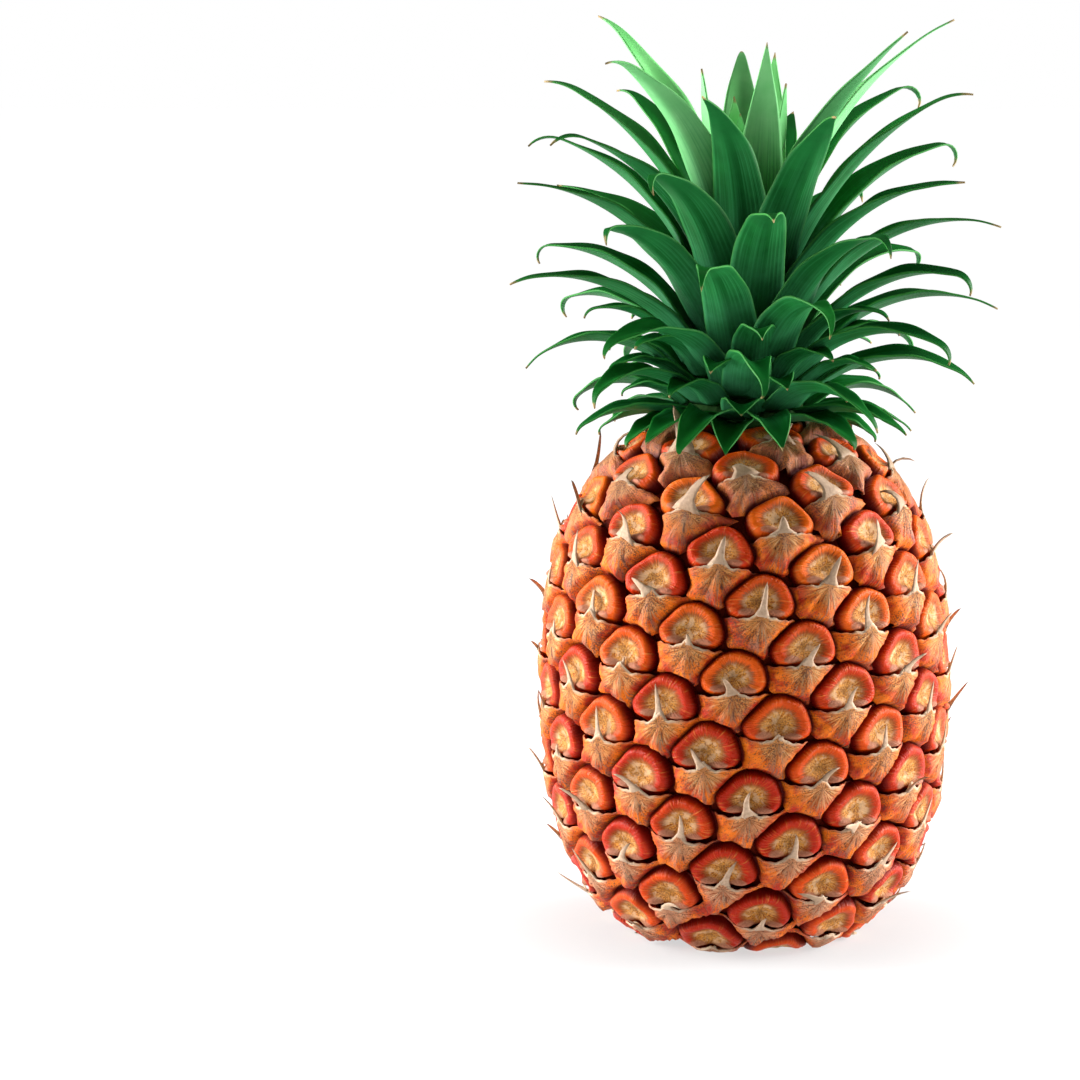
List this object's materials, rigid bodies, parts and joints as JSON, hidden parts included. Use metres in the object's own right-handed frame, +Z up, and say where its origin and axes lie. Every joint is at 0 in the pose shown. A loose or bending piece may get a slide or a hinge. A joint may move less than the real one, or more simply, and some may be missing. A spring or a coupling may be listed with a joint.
{
  "type": "pineapple fruit with crown",
  "caption": "Whole ripe pineapple standing on its cut base: a barrel-shaped fruit of spiralling scaly eyes, a cut stalk stub and a spreading crown of narrow pointed leaves.",
  "frame": {"origin": "centre of the flat underside, on the cut face of the stalk, where the fruit stands", "axes": "+Z up along the fruit's core towards the crown; +X and +Y level, with -Y the side that faces the viewer"},
  "size_m": [0.1549, 0.1607, 0.2919],
  "materials": {
    "fruit_skin": "waxy orange and red-brown eyes with dry tan bracts",
    "cut_stalk": "dry, fibrous cut end",
    "crown_stem": "pale green, matt",
    "leaf": "semi-gloss deep green with a grey bloom beneath"
  },
  "bodies": {
    "root": {"fruit": "fruit_skin", "cut_stalk": "cut_stalk", "crown_stem": "crown_stem", "crown_leaf_01": "leaf", "crown_leaf_02": "leaf", "crown_leaf_03": "leaf", "crown_leaf_04": "leaf", "crown_leaf_05": "leaf", "crown_leaf_06": "leaf", "crown_leaf_07": "leaf", "crown_leaf_08": "leaf", "crown_leaf_09": "leaf", "crown_leaf_10": "leaf", "crown_leaf_11": "leaf", "crown_leaf_12": "leaf", "crown_leaf_13": "leaf", "crown_leaf_14": "leaf", "crown_leaf_15": "leaf", "crown_leaf_16": "leaf", "crown_leaf_17": "leaf", "crown_leaf_18": "leaf", "crown_leaf_19": "leaf", "crown_leaf_20": "leaf", "crown_leaf_21": "leaf", "crown_leaf_22": "leaf", "crown_leaf_23": "leaf", "crown_leaf_24": "leaf", "crown_leaf_25": "leaf", "crown_leaf_26": "leaf", "crown_leaf_27": "leaf", "crown_leaf_28": "leaf", "crown_leaf_29": "leaf", "crown_leaf_30": "leaf", "crown_leaf_31": "leaf", "crown_leaf_32": "leaf", "crown_leaf_33": "leaf", "crown_leaf_34": "leaf", "crown_leaf_35": "leaf", "crown_leaf_36": "leaf", "crown_leaf_37": "leaf", "crown_leaf_38": "leaf", "crown_leaf_39": "leaf", "crown_leaf_40": "leaf", "crown_leaf_41": "leaf", "crown_leaf_42": "leaf", "crown_leaf_43": "leaf", "crown_leaf_44": "leaf", "crown_leaf_45": "leaf", "crown_leaf_46": "leaf", "crown_leaf_47": "leaf", "crown_leaf_48": "leaf", "crown_leaf_49": "leaf", "crown_leaf_50": "leaf", "crown_leaf_51": "leaf", "crown_leaf_52": "leaf", "crown_leaf_53": "leaf", "crown_leaf_54": "leaf", "crown_leaf_55": "leaf", "crown_leaf_56": "leaf"}
  },
  "joints": []
}
